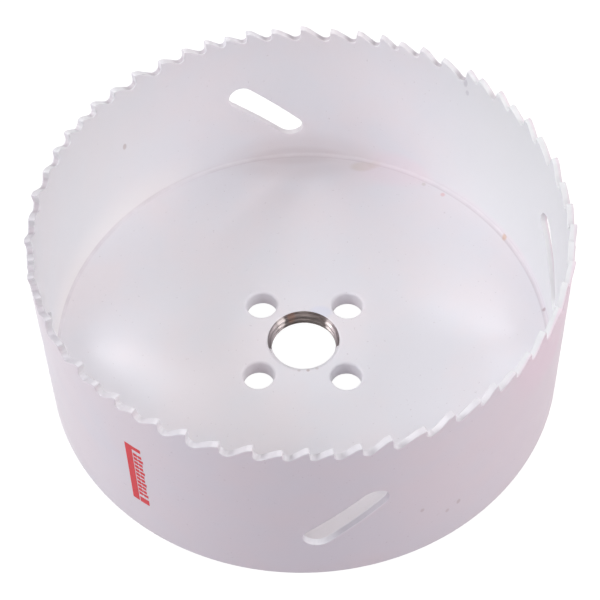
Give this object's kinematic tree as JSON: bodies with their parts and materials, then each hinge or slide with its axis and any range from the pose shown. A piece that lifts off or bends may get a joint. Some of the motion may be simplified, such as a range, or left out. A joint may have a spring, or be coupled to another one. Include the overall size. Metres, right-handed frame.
{
  "type": "hole saw",
  "caption": "Large painted steel hole saw: a cup with a toothed rim, slanted side slots and a thick back plate with a threaded centre hole and drive pin holes.",
  "frame": {"origin": "centre of the back plate's outer face, on the axis of the saw", "axes": "+Z along the axis of the saw, from the back plate towards the teeth; X and Y lie in the plane of the back face"},
  "size_m": [0.1142, 0.1141, 0.0463],
  "materials": {
    "wall_paint": "semi-gloss off-white paint over the rolled steel wall and its teeth, with a faint lilac tint, slight orange peel and a few tiny specks",
    "plate_paint": "semi-gloss off-white paint on the steel back plate; the thread in its centre hole is bare dark steel"
  },
  "bodies": {
    "root": {"toothed_wall": "wall_paint", "back_plate": "plate_paint"}
  },
  "joints": []
}
